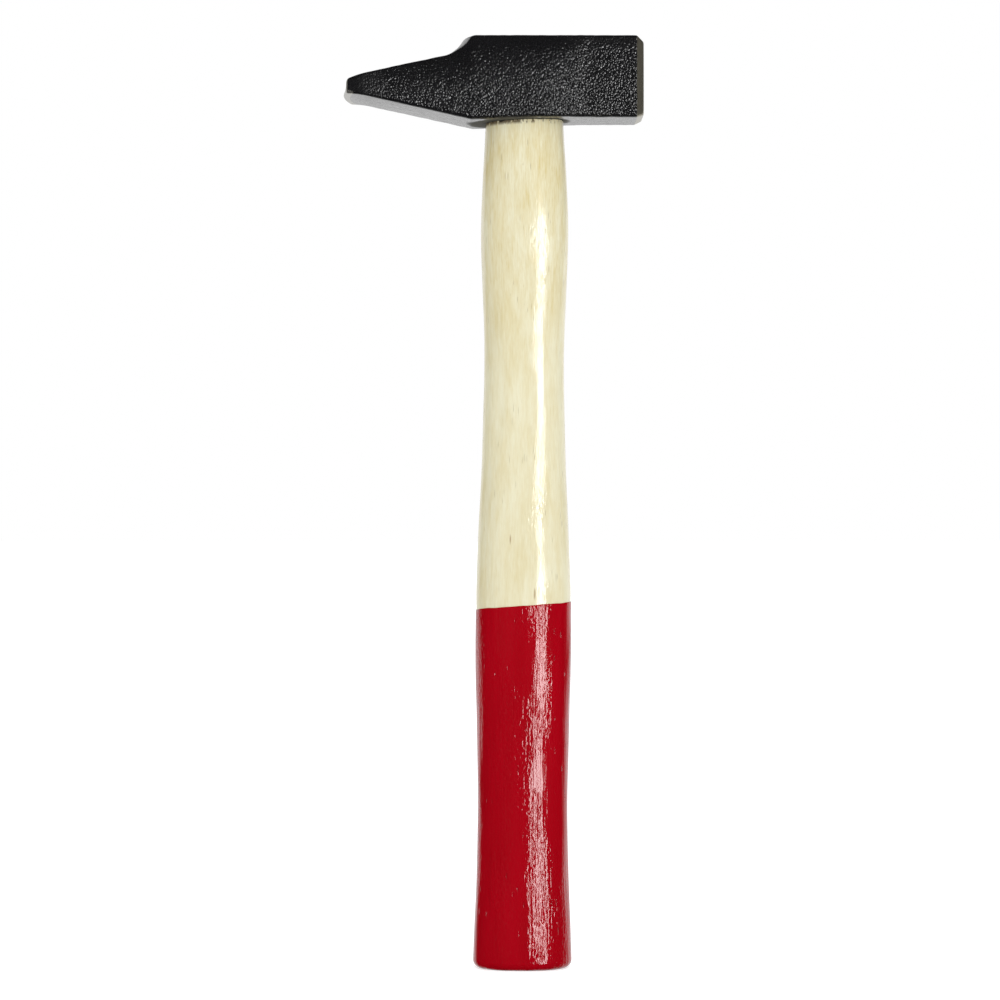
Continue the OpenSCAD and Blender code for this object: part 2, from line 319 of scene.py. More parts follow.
def topLine():
    # the head's top in side view: flat, a rounded edge, a hollow, then the straight slope of the peen
    turn, slope = math.radians(head["stepAngle"]), math.radians(head["peenSlope"])
    r, hollowR, top = head["stepEdgeR"], head["stepHollowR"], headHigh[2]
    edge = np.array([-head["stepReach"] - r * math.sin(turn), top - r + r * math.cos(turn)])
    middle = edge + hollowR * np.array([-math.sin(turn), math.cos(turn)])
    end = middle + hollowR * np.array([math.sin(slope), -math.cos(slope)])
    return edge, middle, end, math.tan(slope)


stepEdge, hollowMiddle, hollowEnd, peenRise = topLine()


def straightTop(x):
    # height of the peen's top: the line through the hollow's end, falling steadily towards the tip
    return hollowEnd[1] - peenRise * (hollowEnd[0] - x)


def tipBend(x):
    # how far the peen's last stretch drops: the square of the share of it that is passed at x
    return head["noseBend"] * np.clip(1 - (x - headLow[0]) / head["noseL"], 0, 1) ** 2


def topZ(x):
    # height of the top at x: level, a round edge, a round hollow, then the slope with its bent end
    r, hollowR = head["stepEdgeR"], head["stepHollowR"]
    rounded = headHigh[2] - r + np.sqrt(np.clip(r ** 2 - (x + head["stepReach"]) ** 2, 0, None))
    hollow = hollowMiddle[1] - np.sqrt(np.clip(hollowR ** 2 - (x - hollowMiddle[0]) ** 2, 0, None))
    return np.where(
        x >= -head["stepReach"], headHigh[2],
        np.where(
            x >= stepEdge[0], rounded,
            np.where(x >= hollowEnd[0], hollow, straightTop(x) - tipBend(x))
        )
    )


def peenShare(x):
    # share of the way from the step to the tip of the peen
    return np.clip(-head["stepReach"] - x, 0, None) / (-headLow[0] - head["stepReach"])


def underZ(x):
    # flat behind the face, a slight drop under the eye, then a straight rise to the tip
    neck, reach = head["neckW"] / 2, head["underReach"]
    slope = head["underDrop"] / (neck + reach)
    stepUnder, tipUnder = underside - head["underDrop"], straightTop(headLow[0]) - head["peenT"]
    share = np.clip(-reach - x, 0, None) / (-headLow[0] - reach)
    return np.where(
        x > -reach, underside - slope * np.clip(neck - x, 0, None),
        stepUnder + (tipUnder - stepUnder) * share - tipBend(x)
    )


def halfWidth(x):
    # the cheeks narrow slowly, then faster, to the square face block, and widen a little to the tip
    cheek, face, peen = head["cheekW"] / 2, head["faceW"] / 2, head["peenW"] / 2
    share = np.clip((x - head["cheekFrom"]) / (head["cheekTo"] - head["cheekFrom"]), 0, 1)
    return cheek + (face - cheek) * smooth(share ** head["cheekBend"]) + (peen - cheek) * peenShare(x)


def planShift(x, y):
    # sections on the peen's side are bent to arcs about an upright axis, so the step and the tip bulge
    r = head["stepPlanR"] + (head["nosePlanR"] - head["stepPlanR"]) * peenShare(x)
    return smooth(-x / head["stepReach"]) * (r - np.sqrt(r ** 2 - y ** 2))


def ringShares(across=44, tall=56, corner=10):
    # one turn of a section: how far each point lies along the width, the edge round and the height
    turn = np.linspace(0, np.pi / 2, corner, endpoint=False)
    spanW = np.linspace(-1, 1, across, endpoint=False)
    spanH = np.linspace(1, 0, tall, endpoint=False)
    one, none = np.ones, np.zeros
    parts = [
        (spanW, none(across), one(across), one(across)),
        (one(corner), np.sin(turn), one(corner), np.cos(turn)),
        (one(tall), one(tall), spanH, none(tall)),
        (one(corner), np.cos(turn), none(corner), -np.sin(turn)),
        (-spanW, none(across), none(across), -one(across)),
        (-one(corner), -np.sin(turn), none(corner), -np.cos(turn)),
        (-one(tall), -one(tall), 1 - spanH, none(tall)),
        (-one(corner), -np.cos(turn), one(corner), np.sin(turn))
    ]
    return [np.concatenate(rows) for rows in zip(*parts)]


def headStations():
    # places of the sections from tip to face, and how far each is drawn in at the tip, chamfer and rim
    low, high, chamfer = headLow[0], headHigh[0], head["chamfer"]
    noseTurn = np.linspace(0, np.pi / 2, 8)
    noseX = low + head["noseR"] * (1 - np.cos(noseTurn))
    noseIn = head["noseR"] * (1 - np.sin(noseTurn))
    faceStart, r = high - chamfer, head["rimR"]
    bodyX = np.arange(noseX[-1] + 0.4, faceStart - 0.8, head["spacing"])
    # the chamfer's first edge is softened; a rounded rim joins the chamfer to the face
    nearX = faceStart + np.linspace(-1, 1, 15) * 0.5
    slantX = np.linspace(faceStart + 0.7, high - r * (1 - math.sqrt(0.5)), 5)
    rimTurn = np.linspace(np.pi / 4, 0, 9)[1:]
    rimX = high - r * (1 - np.cos(rimTurn))
    rimIn = chamfer - r * (1 - math.sqrt(0.5)) + r * (math.sqrt(0.5) - np.sin(rimTurn))
    softX = np.concatenate([nearX, slantX])
    softIn = 0.5 * (softX - faceStart + np.sqrt((softX - faceStart) ** 2 + head["chamferEdge"] ** 2))
    return np.concatenate([noseX, bodyX, softX, rimX]), np.concatenate([noseIn, 0 * bodyX, softIn, rimIn])


def edgeRadii(x, high):
    # radius of the long edges, above and below; both pass into the small radius at the peen's tip
    low = head["lowEdgeR"] + (head["kneeEdgeR"] - head["lowEdgeR"]) * smooth((-x - 5) / 12)
    radii = [r + (head["peenEdgeR"] - r) * peenShare(x) for r in (head["edgeR"], low)]
    return [np.minimum(r, 0.45 * high) for r in radii]


def headRings():
    # sections from the tip of the peen to the face, drawn in at both ends
    xs, ins = headStations()
    flatY, roundY, upShare, roundZ = ringShares()
    x, inset = xs[:, None], ins[:, None]
    # the chamfer was ground by hand and is smaller along the top and smallest along the bottom
    top = topZ(x) - inset * np.where(x > 0, head["topChamfer"], 1)
    lowInset = inset * np.where(x > 0, head["lowChamfer"], 1)
    w = halfWidth(x) - inset
    topR, lowR = edgeRadii(x, top - underZ(x) - lowInset)
    r = lowR + (topR - lowR) * upShare
    y = flatY * (w - r) + roundY * r
    # the underside stays straight across, so its height is read off where the bent section really lies
    shift = planShift(x, y)
    under = underZ(x + shift * (1 - peenShare(x))) + lowInset
    z = under + lowR + upShare * (top - under - topR - lowR) + roundZ * r
    up = (z - under) / (top - under)
    # the sides lean in towards the narrower top, and the tip's end leans back towards its top
    topW = (head["topW"] + (head["peenW"] - head["topW"]) * peenShare(x)) / 2 - inset
    leaning = np.clip((up - head["leanFrom"]) / (1 - head["leanFrom"]), 0, 1) ** 2
    camber = head["camber"] * (1 - peenShare(x))
    y = y * (1 - (np.clip(w - topW, 0, None) + camber) * leaning / w)
    nearTip = smooth((headLow[0] + head["noseL"] - x) / head["noseL"])
    lean = head["noseLean"] * nearTip * up * (1 - (y / w) ** 2)
    return unevenRings(np.stack([x + shift + lean, y, z], -1))


def closedHead(rings):
    # the end sections drawn together in steps: the face with a slight crown, the tip along its arc
    shrink = np.array([0.985, 0.95, 0.88, 0.75, 0.55, 0.35, 0.15, 0.05])[:, None, None]
    faceMiddle, tipMiddle = rings[-1].mean(0), rings[0].mean(0)
    faceCap = faceMiddle + (rings[-1] - faceMiddle) * shrink
    faceCap[..., 0] += head["crown"] * (1 - shrink[..., 0] ** 2)
    tipCap = tipMiddle + (rings[0] - tipMiddle) * shrink[::-1]
    tipY, tipZ = tipCap[..., 1], tipCap[..., 2]
    tipUp = (tipZ - rings[0][:, 2].min()) / np.ptp(rings[0][:, 2])
    tipLean = head["noseLean"] * tipUp * (1 - (tipY / np.abs(rings[0][:, 1]).max()) ** 2)
    tipCap[..., 0] = headLow[0] + planShift(headLow[0], tipY) + tipLean
    return np.concatenate([tipCap, rings, faceCap])


def unevenRings(rings):
    # the forged skin's unevenness: many random waves move each point along its normal, less at both ends
    normals = np.cross(np.roll(rings, -1, 1) - np.roll(rings, 1, 1), np.gradient(rings, axis=0))
    normals /= np.linalg.norm(normals, axis=-1, keepdims=True) + 1e-9
    random, count = np.random.default_rng(head["seed"]), head["unevenWaves"]
    waves = random.normal(size=(count, 3))
    lengths = random.uniform(head["unevenFrom"], head["unevenTo"], count)
    waves *= (2 * np.pi / lengths / np.linalg.norm(waves, axis=1))[:, None]
    phases = random.uniform(0, 2 * np.pi, count)
    height = np.cos(rings @ waves.T + phases).sum(-1) * math.sqrt(2 / count)
    x = rings[..., 0]
    forged = smooth((x - headLow[0] - 5) / 3) * smooth((headHigh[0] - head["chamfer"] - 0.6 - x) / 1.2)
    return rings + normals * (head["uneven"] * height * forged)[..., None]


def fullTurn(points):
    # evenly spaced angles once round
    return np.linspace(0, 2 * np.pi, points, endpoint=False)


def ovalShares(turn, power):
    # cosine and sine of the turn, each to the power 2 over power; over 2 it is squarer than an ellipse
    return [np.sign(part) * np.abs(part) ** (2 / power) for part in (np.cos(turn), np.sin(turn))]


def ellipseRings(z, halfX, halfY, points):
    # a level ellipse at each height z
    x, y = ovalShares(fullTurn(points), 2.0)
    return np.stack([halfX[:, None] * x, halfY[:, None] * y, z[:, None] + 0 * x], -1)


def eyeHalf(z):
    # half the eye's length: a waist in the middle and wider mouths
    middle = underside + head["high"] / 2
    return (head["eyeL"] + head["eyeFlare"] * np.abs(z - middle) / (head["high"] / 2)) / 2


def makeHead(material):
    # the eye's cutter follows the sloping underside, with a small chamfer at both mouths
    piece = skin("hammer_head", closedHead(headRings()), material)
    chamfer, ratio = head["eyeChamfer"], head["eyeW"] / head["eyeL"]
    away = np.array([-1.5, -0.4, 0, 0.1, 0.2, 0.3, chamfer, 0.8, 3, 8])
    wider = np.clip(chamfer - away, 0, chamfer + 0.4)
    low, high = underZ(0.0), headHigh[2]
    z = np.concatenate([low + away, [underside + head["high"] / 2], (high - away)[::-1]])
    half = eyeHalf(z) + np.concatenate([wider, [0], wider[::-1]])
    rings = ellipseRings(z, half, half * ratio, 192)
    slope = underZ(1.0) - low
    rings[: len(away), :, 2] += slope * rings[: len(away), :, 0]
    cutBy(piece, [skin("eye_cutter", rings, material)])
    sharpen(piece, 40)
    return piece


# Handle
handle = {
    # (height above the butt, full width) of the outline, over the coat where there is one
    "widths": [
        (0, 34.0), (12.5, 33.0), (34, 31.3), (54, 30.6), (84, 31.6), (115, 32.8), (127, 32.4),
        (139, 31.7), (166, 29.0), (193, 27.6), (211, 27.3), (232, 28.8), (254, 29.8), (268.5, 28.6),
        (281, 27.2), (288.3, 26.5)
    ],
    # sideways drift of the middle, depth as a share of the width, and the deeper neck above the waist
    "leanTop": 0.5, "leanBottom": -0.35, "depthRatio": 0.78, "power": 2.2,
    "waistZ": 210.0, "neckDepth": 23.4,
    # rounded edges, clearances, and the thin edges of the wedges
    "buttR": 2.6, "neckR": 0.1, "neckGap": 0.06, "eyeGap": 0.06, "wedgeGap": 0.04,
    "woodEdge": 0.8, "steelEdge": 0.9,
    # the spokeshave's waves (times round, turn per millimetre up, height), and the chips at the shoulder
    "waves": [
        (1, 0.045, 0.05), (2, -0.06, 0.04), (3, 0.02, 0.03), (5, 0.05, 0.035), (7, -0.03, 0.04),
        (8, 0.09, 0.026), (11, 0.05, 0.016), (9, -0.13, 0.018), (4, 0.22, 0.02)
    ],
    "torn": [(13, 0, 0.5), (19, 0, 0.5), (31, 0, 0.35), (43, 0, 0.25)],
    "chip": 0.9, "waveSeed": 7, "tornSeed": 5, "rows": 240, "points": 256
}
coat = {
    # dipped coat: thickness, gap to the wood, and its edge: height, slant in degrees, bulge, lip, waver
    "thick": 0.25, "gap": 0.02, "top": 123.2, "slant": 4.7, "slantWidth": 32.8, "bulge": 0.45,
    "lip": 0.12, "waver": [(2, 0, 0.12), (5, 0, 0.06), (9, 0, 0.04), (17, 0, 0.03)], "seed": 3,
    "rows": 200, "points": 240
}


def stickMiddle(z):
    # the stick leans a little: its middle drifts from left to right up the handle
    return handle["leanBottom"] + (handle["leanTop"] - handle["leanBottom"]) * z / underside


def stickHalf(z):
    # half the width of the bare wood, thinner by the coat's thickness where it was dipped
    dipped = 1 - smooth((z - coat["top"] + 4) / 10)
    return along(z, handle["widths"]) / 2 - coat["thick"] * dipped


def stickDeep(z):
    # half the depth from front to back: above the waist the stick grows rounder towards the neck
    rounder = smooth((z - handle["waistZ"]) / (underside - handle["waistZ"]))
    neckRatio = handle["neckDepth"] / head["neckW"]
    return stickHalf(z) * (handle["depthRatio"] + (neckRatio - handle["depthRatio"]) * rounder)


def unevenness(z, turn):
    # slow waves left by the spokeshave, in millimetres
    return ripple(turn, z, handle["waves"], handle["waveSeed"])


def chips(z, turn, top):
    # small chips out of the shoulder's edge, most of them on the side of the peen
    torn = ripple(turn, 0 * turn, handle["torn"], handle["tornSeed"])
    side = 0.3 + 0.7 * smooth((-np.cos(turn) - 0.1) / 0.6)
    return handle["chip"] * np.clip(torn - 0.25, 0, 1) * side * smooth((z - top + 2.2) / 2.2)


def stickWall(z, turn, grow):
    # points of the stick: its oval at height z, with each point moved out by grow and the slow waves
    shareX, shareY = ovalShares(turn, handle["power"])
    x, y = stickHalf(z) * shareX, stickDeep(z) * shareY
    scale = 1 + (grow + unevenness(z, turn)) / np.hypot(x, y)
    return np.stack([x * scale + stickMiddle(z), y * scale, z + 0 * x], -1)


def seated(rings, low, high):
    # rings between two heights are laid more and more against the sloping underside of the head
    rings = rings.copy()
    share = smooth((rings[..., 2] - low) / (high - low))
    rings[..., 2] += share * (underZ(rings[..., 0]) - underside)
    return rings


def slab(node, edge, lengthwise):
    # a tapered cutter round a wedge: its box with a thin lower edge, grown by the gap, past the top
    low, high = boxOf(node)
    middle, half, gap, lap = (low + high) / 2, (high - low) / 2, handle["wedgeGap"], 1.0
    topHalf, edgeHalf = half[1 if lengthwise else 0] + gap, edge / 2 + gap
    overHalf = topHalf + lap * (topHalf - edgeHalf) / (2 * half[2])
    thick = np.array([edgeHalf, overHalf])[:, None]
    length = half[0] + 2 if lengthwise else half[1] + gap
    turnX, turnY = np.array([1, 1, -1, -1]), np.array([-1, 1, 1, -1])
    x = middle[0] + (length if lengthwise else thick) * turnX
    y = middle[1] + (thick if lengthwise else length) * turnY
    z = np.array([low[2] - gap, high[2] + lap])[:, None]
    return skin("slot_cutter", np.stack(np.broadcast_arrays(x, y, z), -1), None)


def makeHandle(material):
    # from the butt up: rounded edge, stick, shoulder against the head, then the tenon in the eye
    neckZ, neckR, rows = underside - handle["neckGap"], handle["neckR"], handle["rows"]
    turn, bend = fullTurn(handle["points"]), np.linspace(0, np.pi / 2, 8)
    buttZ = coat["thick"] + handle["buttR"] * (1 - np.cos(bend))
    buttIn = -handle["buttR"] * (1 - np.sin(bend))
    bodyZ = np.linspace(buttZ[-1] + 1, neckZ - neckR - 0.3, rows)
    z = np.concatenate([buttZ, bodyZ, neckZ - neckR * np.cos(bend)])[:, None]
    grow = np.concatenate([buttIn, np.zeros(rows), -neckR * (1 - np.cos(bend))])[:, None]
    stick = seated(stickWall(z, turn, grow), neckZ - 12, neckZ - neckR)
    stick[..., 2] -= chips(z, turn, neckZ)
    tenonZ = np.concatenate([[neckZ], np.linspace(neckZ + 1.2, tenonTop - 0.25, 20), [tenonTop]])
    tight = np.concatenate([[0], np.zeros(20), [0.2]])
    half = eyeHalf(np.clip(tenonZ, underside + 0.5, headHigh[2] - 0.5)) - handle["eyeGap"] - tight
    tenon = ellipseRings(tenonZ, half, half * head["eyeW"] / head["eyeL"], handle["points"])
    tenon[0, :, 2] += underZ(tenon[0, :, 0]) - underside
    inner = 1 - np.linspace(0.05, 0.95, 12)[:, None, None] ** 1.3
    lowMiddle, highMiddle = stick[0].mean(0), tenon[-1].mean(0)
    buttCap = lowMiddle + (stick[0] - lowMiddle) * inner[::-1]
    topCap = highMiddle + (tenon[-1] - highMiddle) * inner
    piece = skin("ash_handle", np.concatenate([buttCap, stick, tenon, topCap]), material)
    cutBy(piece, [
        slab("wood_wedge", handle["woodEdge"], True),
        slab("steel_wedge_face_side", handle["steelEdge"], False),
        slab("steel_wedge_peen_side", handle["steelEdge"], False)
    ])
    sharpen(piece, 40)
    return piece


def makeCoat(material):
    # one closed skin: the butt, the outer wall up to the slanted edge, its round lip, the inner wall down
    turn, bend = fullTurn(coat["points"]), np.linspace(0, np.pi / 2, 12)
    thick, gap, buttR = coat["thick"], coat["gap"], handle["buttR"] + coat["thick"]
    buttZ = (buttR * (1 - np.cos(bend)))[:, None]
    buttIn = (-buttR * (1 - np.sin(bend)))[:, None]
    # the edge is a slanted cut through the oval, with a slight bulge and waver
    slant = math.tan(math.radians(coat["slant"])) * coat["slantWidth"] / 2
    waver = ripple(turn, 0 * turn, coat["waver"], coat["seed"])
    edge = coat["top"] + slant * np.cos(turn) - coat["bulge"] * np.sin(turn) + waver
    wallTop = edge - coat["lip"]
    share = np.linspace(0, 1, coat["rows"])[1:, None]
    lowRings = stickWall(buttZ, turn, thick + buttIn)
    outer = stickWall(buttZ[-1] + (wallTop - buttZ[-1]) * share, turn, thick)
    lipTurn = np.linspace(0, np.pi, 9)[1:-1, None]
    half = (thick - gap) / 2
    lip = stickWall(wallTop + coat["lip"] * np.sin(lipTurn), turn, gap + half + half * np.cos(lipTurn))
    inner = stickWall(buttZ[-1] + (wallTop - buttZ[-1]) * share[::-12], turn, gap)
    innerButt = stickWall(buttZ[::-3] + thick - gap, turn, buttIn[::-3] + gap)
    closing = 1 - np.linspace(0.05, 0.95, 12)[:, None, None] ** 1.3
    lowMiddle, endMiddle = lowRings[0].mean(0), innerButt[-1].mean(0)
    buttCap = lowMiddle + (lowRings[0] - lowMiddle) * closing[::-1]
    innerCap = endMiddle + (innerButt[-1] - endMiddle) * closing
    rings = np.concatenate([buttCap, lowRings, outer, lip, inner, innerButt, innerCap])
    return skin("grip_coat", rings, material)


# Materials
enamel = {
    # colours, the painted shade under the neck among them, then the grain's size and height in millimetres,
    # and how rough and shiny it is
    "black": colour(24, 23, 26), "steel": (0.36, 0.335, 0.26, 1.0), "endSteel": (0.42, 0.41, 0.38, 1.0),
    "neckShade": colour(80, 78, 64), "grain": 0.7, "grainDepth": 0.25, "rough": 0.27, "steelRough": 0.3,
    "shine": 1.0
}


def enamelMaterial():
    # black wrinkle enamel; bare ground steel on the face, its chamfer and the end of the peen; painted
    # shade under the head round the neck
    material, s = newMaterial("black enamel")
    place = s.objectPlace()
    x, y, z = s.axes(place)
    faceStart = headHigh[0] - head["chamfer"]
    ragged = s.noise(place, 1.6, 3.0) - 0.5
    bareFace = s.rise(x + ragged * 0.5, faceStart - 0.05, faceStart + 0.15)
    # the end of the peen follows its plan arc, so the distance to it is taken along x from that arc
    arc = y * y / (2 * head["nosePlanR"]) + headLow[0]
    fromTip = x - arc
    # the steel reaches further up the tip's lower bevel
    bevel = s.rise(z, underZ(headLow[0]) + 1.4, underZ(headLow[0]) + 0.5) * 1.8
    bareNose = s.rise(fromTip + ragged * 0.3 - bevel, 0.25, 0.5, 1.0, 0.0)
    bare = bareFace + bareNose
    wrinkled = s.rise(fromTip + ragged * 3, 1.5, 9.0)
    # each grain is a small dome round a scattered point
    fine = s.noise(place, enamel["grain"], 0.0)
    dome = s.cells(s.stretched(place, (1, 1, 0.85), (0, 0.5, 0)), enamel["grain"])
    # the grain stands out on the two flat sides and is filled up elsewhere
    normalY, normalZ = s.normalParts()[1:]
    flatSide = s.rise(normalY.math("ABSOLUTE"), 0.5, 0.9, 0.12, 1.0)
    below = s.rise(normalZ, -0.6, -0.9)
    flatSide = flatSide * s.rise(z, headHigh[2] - 0.5, headHigh[2] - 6.0, 0.4, 1.0)
    height = (1 - dome * dome + fine * 0.4) * (wrinkled * 0.92 + 0.08) * (1 - bare) * flatSide
    grind = s.noise(s.stretched(place, (0.02, 1.0, 1.0)), 0.35, 2.0)
    normal = s.bump(height, enamel["grainDepth"], s.bump(grind * bare, 0.006))
    tone = s.blend(enamel["black"], colour(15, 15, 16), s.noise(place, 9.0, 2.0))
    # painted shade: the underside round the neck is painted dark olive where the handle shades it, and is
    # made rougher there
    fromNeck = (x * x + y * y * 1.2) ** 0.5 - head["neckW"] / 2 + ragged * 2
    fromNeck = fromNeck - s.rise(x, 10.0, -8.0) * 3.2
    neckShade = s.rise(fromNeck, 3.8, 0.9) * below
    tone = s.blend(tone, enamel["neckShade"], neckShade * 0.75)
    steelTone = s.blend(enamel["steel"], enamel["endSteel"], bareNose)
    steelTone = s.blend(steelTone, (0.24, 0.22, 0.17, 1.0), s.noise(place, 3.0, 3.0) * 0.5)
    # the thin enamel behind the tip is duller
    patch = s.rise(fromTip + ragged * 2, 2.5, 6.0) * s.rise(fromTip, 15.0, 9.0) * flatSide
    rough = fine * 0.16 + enamel["rough"] - 0.08 + patch * 0.14 + neckShade * 0.6 - below * 0.04
    s.surface({
        "Base Color": s.blend(tone, steelTone, bare),
        "Metallic": bare * 0.8,
        "Roughness": (1 - bare) * rough + bare * enamel["steelRough"],
        "Normal": normal,
        "IOR": 1.5,
        "Specular IOR Level": enamel["shine"]
    })
    return material


ash = {
    # colours, the painted shade under the head among them, then the rings: their gap, the pith's place
    # behind the stick and how far they run out
    "pale": colour(235, 230, 200), "warm": colour(216, 200, 146), "fleck": colour(150, 108, 58),
    "gapShade": colour(70, 50, 26), "ringGap": 1.9, "pith": (-3.0, 46.0), "runOut": 0.0009,
    "rough": 0.14, "grainDepth": 0.24
}


def ashMaterial():
    # rings about a pith behind the stick, fibres and open pores drawn out along it, painted shade under the
    # head, clear varnish
    material, s = newMaterial("varnished ash")
    place = s.objectPlace()
    x, y, z = s.axes(place)
    wander = (s.noise(s.stretched(place, (1, 1, 0.12)), 16.0, 2.0) - 0.5) * 5.0
    dx, dy = x - ash["pith"][0] + wander, y - ash["pith"][1] + wander * 0.6
    # the grain runs out towards the head, which draws the rings into arches there
    above = (z - 222.0).math("MAXIMUM", 0.0)
    radius = (dx * dx + dy * dy) ** 0.5 + above * above * ash["runOut"]
    ring = (radius / ash["ringGap"]).math("FRACT")
    late = s.rise(ring, 0.5, 1.0) * s.rise(ring, 1.0, 0.93)
    fibre = s.noise(s.stretched(place, (1, 1, 0.1)), 0.5, 2.0, 0.7)
    streak = s.noise(s.stretched(place, (1, 1, 0.16)), 2.0, 4.0, 0.7)
    blotch = s.noise(s.stretched(place, (1, 1, 0.3)), 7.0, 3.0, 0.6)
    # the upper end is darker and more streaked
    upper = s.rise(z, 190.0, 285.0)
    strong = upper * 0.8 + 0.7
    share = late * 0.12 + (fibre - 0.5) * strong + (streak - 0.5) * strong * 0.9 + (blotch - 0.5) * 1.3
    tint = s.blend(ash["pale"], ash["warm"], share + upper * 0.2 + 0.2)
    pore = s.rise(s.cells(s.stretched(place, (1, 1, 0.06)), 0.75), 0.16, 0.05) * s.rise(ring, 0.7, 0.3)
    fleck = s.rise(s.cells(s.stretched(place, (1, 1, 0.16)), 5.5), 0.085, 0.03) * s.rise(blotch, 0.48, 0.6)
    tint = s.blend(tint, ash["fleck"], pore * (0.22 + upper * 0.2) + fleck * 0.8)
    # torn fibres and painted shade in the gap under the head: ragged dark brown spots, more of them on the
    # side of the peen
    torn = s.noise(s.stretched(place, (1, 1, 0.35)), 0.9, 2.0)
    under = z - (x - 13.0).math("MINIMUM", 0.0) * 0.035
    gapShade = s.rise(under, underside - 1.9, underside - 0.6) * s.rise(torn - x * 0.014, 0.42, 0.56)
    gapShade = gapShade * s.rise(z, underside + 4.0, underside + 2.0)  # none on the tenon's end
    tint = s.blend(tint, ash["gapShade"], gapShade * 0.85)
    # raised grain: strong in patches, weak elsewhere
    patch = s.rise(s.noise(s.stretched(place, (1, 1, 0.35)), 11.0, 2.0), 0.42, 0.62)
    wave = s.noise(s.stretched(place, (1, 1, 0.1)), 2.6, 2.0)
    knobs = s.noise(s.stretched(place, (1, 1, 0.55)), 1.1, 0.0)
    height = (fibre * 0.35 + knobs * 0.35) * (patch * 0.85 + 0.15) - pore * 0.5 + wave * 0.35
    s.surface({
        "Base Color": tint,
        "Roughness": fibre * 0.1 + ash["rough"] - 0.05,
        "Normal": s.bump(height, ash["grainDepth"]),
        "IOR": 1.5,
        "Specular IOR Level": 0.62
    })
    return material


lacquer = {
    "red": colour(176, 0, 22), "deep": colour(150, 0, 12), "rough": 0.12, "depth": 0.25
}


def lacquerMaterial():
    # thick red coat that follows the pores, fibres and ripples of the wood under it
    material, s = newMaterial("red lacquer")
    place = s.objectPlace()
    blotch = s.noise(s.stretched(place, (1, 1, 0.15)), 8.0, 2.0)
    patch = s.rise(s.noise(s.stretched(place, (1, 1, 0.25)), 10.0, 2.0), 0.4, 0.6)
    fibres = s.noise(s.stretched(place, (1, 1, 0.05)), 0.95, 2.0)
    knobs = s.noise(s.stretched(place, (1, 1, 0.55)), 0.8, 1.0)
    grain = s.noise(place, 0.5, 1.0)
    pore = s.rise(s.cells(s.stretched(place, (1, 1, 0.22)), 2.2), 0.13, 0.04)
    height = fibres * (patch * 0.7 + 0.3) + knobs * patch * 0.7 + grain * 0.13 - pore * 0.8
    s.surface({
        "Base Color": s.blend(lacquer["red"], lacquer["deep"], blotch + pore * 0.4),
        "Roughness": pore * 0.1 + lacquer["rough"],
        "Normal": s.bump(height, lacquer["depth"]),
        "IOR": 1.5,
        "Specular IOR Level": 0.6
    })
    return material


def wedgeWoodMaterial():
    # darker hardwood seen on its end grain: fine dots and rings
    material, s = newMaterial("wedge hardwood")
    place = s.objectPlace()
    dots = s.rise(s.cells(s.stretched(place, (1, 1, 0.05)), 0.35), 0.25, 0.05)
    line = s.noise(s.stretched(place, (0.15, 1, 0.05)), 0.8, 2.0)
    tint = s.blend(colour(196, 158, 108), colour(150, 108, 66), line)
    s.surface({
        "Base Color": s.blend(tint, colour(96, 62, 36), dots * 0.7),
        "Roughness": line * 0.2 + 0.45,
        "Normal": s.bump(line * 0.6 - dots, 0.05)
    })
    return material


def wedgeSteelMaterial():
    # plain steel with hammer dents on its end and a little rust
    material, s = newMaterial("wedge steel")
    place = s.objectPlace()
    dent = s.noise(place, 1.4, 2.0)
    rust = s.rise(s.noise(place, 1.1, 4.0), 0.56, 0.7)
    s.surface({
        "Base Color": s.blend((0.45, 0.44, 0.43, 1.0), colour(112, 72, 48), rust * 0.6),
        "Metallic": 1 - rust * 0.7,
        "Roughness": dent * 0.2 + 0.3,
        "Normal": s.bump(dent, 0.12)
    })
    return material


enamelLook, ashLook, lacquerLook = enamelMaterial(), ashMaterial(), lacquerMaterial()
print("materials made")

headPiece = makeHead(enamelLook)
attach(headPiece, "root")
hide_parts("head")
print("head made")

handlePiece = makeHandle(ashLook)
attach(handlePiece, "root")
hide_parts("handle")
print("handle made")

coatPiece = makeCoat(lacquerLook)
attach(coatPiece, "root")
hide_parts("grip_lacquer")
print("grip made")

for nodeName, look in (
    ("wood_wedge", wedgeWoodMaterial()),
    ("steel_wedge_face_side", wedgeSteelMaterial()),
    ("steel_wedge_peen_side", wedgeSteelMaterial())
):
    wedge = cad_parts[nodeName]
    wedge.data.materials.clear()
    wedge.data.materials.append(look)
print("wedges dressed")

# Studio: pale floor and sky, one tall softbox to the right, and weaker fills
studio = {
    # strength of the sky; where mirrored sky turns from dark to white, and how it sinks up and to the left
    "fill": 0.75, "backFrom": 0.3, "backTo": 0.65, "lift": 3.0, "lean": 1.2, "leftDim": 0.15,
    "floorGlow": 0.62, "floorTone": 0.9, "floorHalf": 12000.0, "floorZ": -0.05,
    "lamps": [
        # name, azimuth to the right of the camera, elevation, distance, width, height, brightness, mirrored
        ("tall_softbox", 30.0, -6.0, 1100.0, 300.0, 580.0, 11.0, True),
        ("front_left", -30.0, 8.0, 1300.0, 700.0, 700.0, 1.3, False),
        ("front_right", 30.0, 8.0, 1300.0, 700.0, 700.0, 3.4, False)
    ],
    "aim": (0.0, 0.0, 160.0)
}


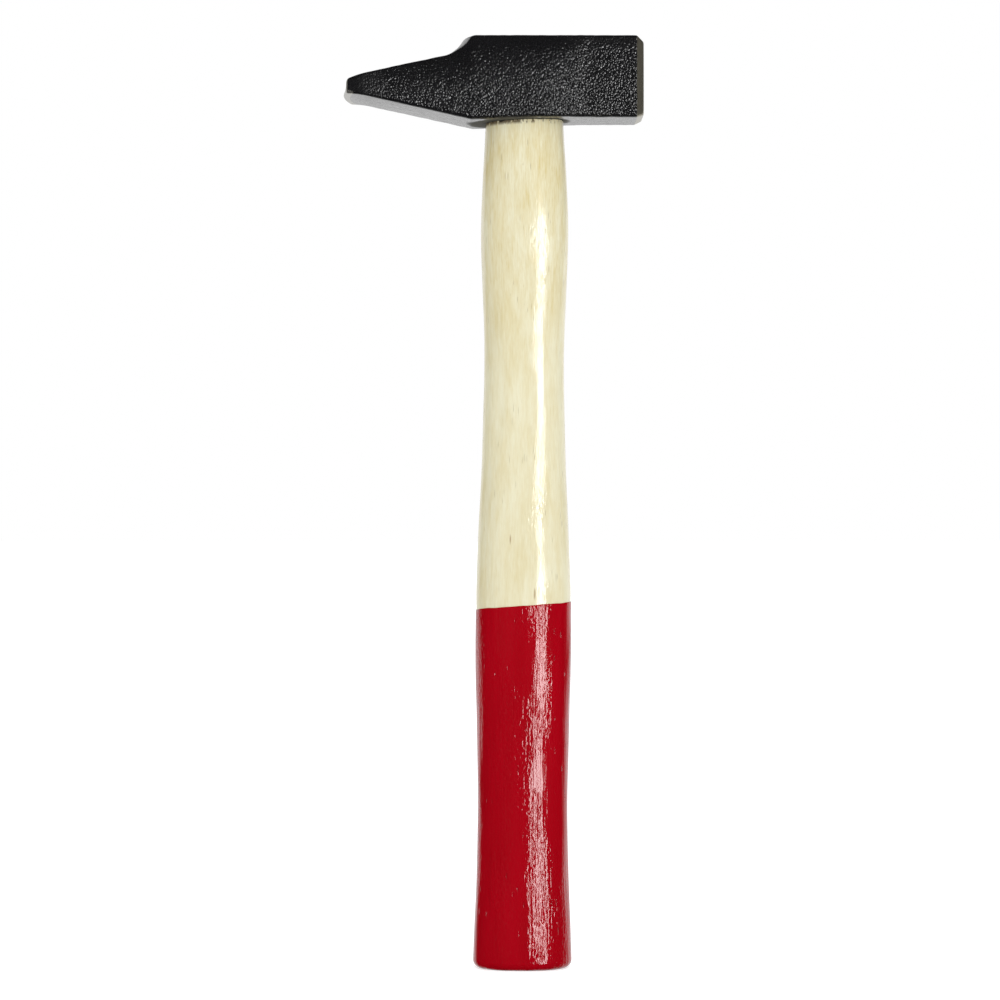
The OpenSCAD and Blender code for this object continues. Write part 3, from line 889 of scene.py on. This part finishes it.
def makeWorld():
    # white to the camera; to shiny surfaces white behind the object and dark in front; soft to the rest
    world = bpy.data.worlds.new("studio")
    bpy.context.scene.world = world
    s = Sheet(world)
    towards = s.node("ShaderNodeTexCoord", out="Generated")
    side, depth, up = [s.node("ShaderNodeSeparateXYZ", None, {0: towards}, out=i) for i in range(3)]
    left = side.math("MINIMUM", 0.0)
    raised = (up + left * studio["lean"]).math("MAXIMUM", 0.0)
    back = depth + left * studio["leftDim"] - raised * studio["lift"]
    behind = s.rise(back, studio["backFrom"], studio["backTo"])
    seen = s.ray("Is Camera Ray") + s.ray("Is Transmission Ray")
    fill = studio["fill"]
    strength = fill + seen * (1 - fill) + s.ray("Is Glossy Ray") * (behind - fill)
    sky = s.node("ShaderNodeBackground", None, {"Color": (1, 1, 1, 1), "Strength": strength})
    s.node("ShaderNodeOutputWorld", None, {"Surface": sky})


def makeFloor():
    # a pale floor that glows a little to the camera and keeps the shadow; mirrored rays see the sky instead
    material, s = newMaterial("floor")
    tone = studio["floorTone"]
    matte = s.node("ShaderNodeBsdfDiffuse", None, {"Color": (tone, tone, tone, 1)})
    seen = s.ray("Is Camera Ray") + s.ray("Is Transmission Ray")
    glow = s.node("ShaderNodeEmission", None, {
        "Color": (1, 1, 1, 1), "Strength": seen * studio["floorGlow"]
    })
    plain = s.node("ShaderNodeAddShader", None, {0: matte, 1: glow})
    s.node("ShaderNodeOutputMaterial", None, {"Surface": plain})
    half, low = studio["floorHalf"], studio["floorZ"]
    corners = np.array([[-half, -half, low], [half, -half, low], [half, half, low], [-half, half, low]])
    mesh = bpy.data.meshes.new("floor")
    mesh.from_pydata((corners * mm).tolist(), [], [(0, 1, 2, 3)])
    floor = bpy.data.objects.new("floor", mesh)
    bpy.context.scene.collection.objects.link(floor)
    mesh.materials.append(material)
    floor.visible_glossy = False


def makeLamp(name, azimuth, elevation, distance, width, height, brightness, mirrored):
    # an oblong lamp aimed at the object; its power follows from its brightness and its area
    data = bpy.data.lights.new(name, "AREA")
    data.shape = "RECTANGLE"
    data.size, data.size_y = width * mm, height * mm
    data.energy = brightness * math.pi * data.size * data.size_y
    a, e = math.radians(azimuth), math.radians(elevation)
    away = np.array([math.sin(a) * math.cos(e), -math.cos(a) * math.cos(e), math.sin(e)])
    lamp = bpy.data.objects.new(name, data)
    lamp.location = (np.array(studio["aim"]) + away * distance) * mm
    lamp.rotation_euler = (math.radians(90) - e, 0, a)
    lamp.visible_camera = False
    lamp.visible_glossy = mirrored
    lamp.visible_diffuse = not mirrored
    bpy.context.scene.collection.objects.link(lamp)


makeWorld()
makeFloor()
for lamp in studio["lamps"]:
    makeLamp(*lamp)
print("studio lit")
